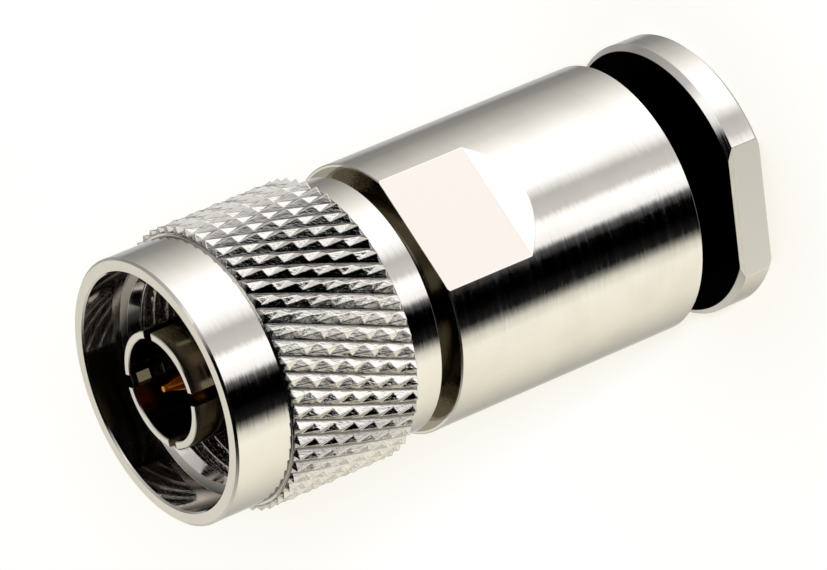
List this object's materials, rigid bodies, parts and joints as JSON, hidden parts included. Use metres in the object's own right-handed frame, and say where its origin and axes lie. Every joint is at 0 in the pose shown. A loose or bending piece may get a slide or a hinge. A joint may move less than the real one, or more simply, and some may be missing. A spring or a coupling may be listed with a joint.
{
  "type": "coaxial cable plug",
  "caption": "Nickel plated coaxial plug with a knurled coupling nut, slotted outer contact, centre pin, flatted barrel and a screwed cable clamp nut.",
  "frame": {"origin": "centre of the clamp nut's rear face, where the cable goes in and on which the plug stands", "axes": "+Z along the plug's axis towards its open mating end; the barrel's wrench flats face +X and -X"},
  "size_m": [0.0196, 0.0196, 0.0437],
  "materials": {
    "nickel": "bright nickel plate on turned brass",
    "bronze": "plain spring bronze",
    "gold": "gold plate on turned brass",
    "ptfe": "satin turned PTFE",
    "red_rubber": "matte silicone rubber",
    "black_rubber": "matte black rubber"
  },
  "bodies": {
    "shell": {"barrel": "nickel", "retaining_ring": "bronze", "interface_gasket": "red_rubber", "outer_contact": "nickel", "front_insulator": "ptfe", "centre_contact": "gold", "rear_insulator": "ptfe"},
    "coupling": {"coupling_nut": "nickel"},
    "clamp_stack": {"braid_clamp": "nickel", "front_washer": "nickel", "cable_gasket": "black_rubber", "rear_washer": "nickel"},
    "clamp": {"clamp_nut": "nickel"}
  },
  "joints": [
    {"name": "coupling_spin", "type": "hinge", "parent": "shell", "child": "coupling", "pos_m": [0, 0, 0.035], "axis": [0, 0, 1], "continuous": true},
    {"name": "clamp_feed", "type": "slide", "parent": "shell", "child": "clamp_stack", "axis": [0, 0, 1], "range_m": [-0.004, 0.0034]},
    {"name": "clamp_turn", "type": "hinge", "parent": "clamp_stack", "child": "clamp", "pos_m": [0, 0, 0.0055], "axis": [0, 0, 1], "range_deg": [-1440, 1224]}
  ],
  "couplings": [
    {"joint": "clamp_feed", "follows": "clamp_turn", "m_per_rad": 0.00015915}
  ]
}
